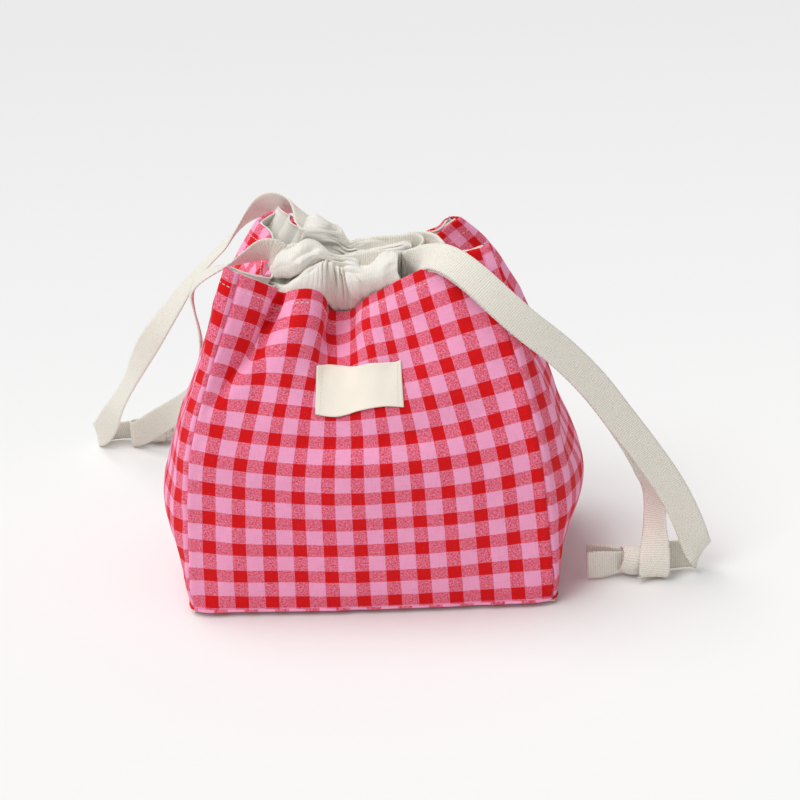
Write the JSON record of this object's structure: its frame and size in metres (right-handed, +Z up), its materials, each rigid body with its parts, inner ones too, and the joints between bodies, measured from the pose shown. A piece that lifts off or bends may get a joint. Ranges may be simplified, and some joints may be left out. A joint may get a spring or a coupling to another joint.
{
  "type": "drawstring bag",
  "caption": "Boxy cotton bag with a flat base, gathered mouth, lining, two channel casings and a webbing drawstring pulling out at each side, each loop ending in a knot.",
  "frame": {"origin": "middle of the flat base, on the surface that the bag stands on", "axes": "+X to the bag's right seen from the side with the label, along the drawstrings' casings; +Y from the front panel to the back panel; +Z up"},
  "size_m": [0.457, 0.3223, 0.2423],
  "materials": {
    "gingham": "woven red and pink check, matt",
    "linen": "plain weave, matt",
    "webbing": "ribbed cotton webbing, matt",
    "label_cotton": "smooth tape, matt",
    "thread": "spun thread"
  },
  "bodies": {
    "bag": {"outer_base": "gingham", "outer_front_panel": "gingham", "outer_back_panel": "gingham", "outer_left_gusset": "gingham", "outer_right_gusset": "gingham", "lining_base": "linen", "lining_front_panel": "linen", "lining_back_panel": "linen", "lining_left_gusset": "linen", "lining_right_gusset": "linen", "front_casing": "linen", "back_casing": "linen", "label": "label_cotton", "label_stitches_left": "thread", "label_stitches_right": "thread", "front_topstitch": "thread", "back_topstitch": "thread", "left_topstitch": "thread", "right_topstitch": "thread"},
    "left_drawstring": {"left_drawstring_run": "webbing"},
    "right_drawstring": {"right_drawstring_run": "webbing"},
    "left_loop": {"left_strand_front": "webbing", "left_strand_back": "webbing", "left_knot": "webbing"},
    "right_loop": {"right_strand_front": "webbing", "right_strand_back": "webbing", "right_knot": "webbing"}
  },
  "joints": [
    {"name": "left_drawstring_pull", "type": "slide", "parent": "bag", "child": "left_drawstring", "axis": [-1, 0, 0], "range_m": [0, 0.006], "deforming": ["left_drawstring_run"]},
    {"name": "right_drawstring_pull", "type": "slide", "parent": "bag", "child": "right_drawstring", "axis": [1, 0, 0], "range_m": [0, 0.006], "deforming": ["right_drawstring_run"]},
    {"name": "left_loop_swing", "type": "hinge", "parent": "left_drawstring", "child": "left_loop", "pos_m": [-0.058, 0.012, 0.226], "axis": [0, 1, 0], "range_deg": [0, 140], "deforming": ["left_strand_front", "left_strand_back"]},
    {"name": "right_loop_swing", "type": "hinge", "parent": "right_drawstring", "child": "right_loop", "pos_m": [0.052, -0.038, 0.222], "axis": [0, -1, 0], "range_deg": [0, 140], "deforming": ["right_strand_front", "right_strand_back"]}
  ]
}
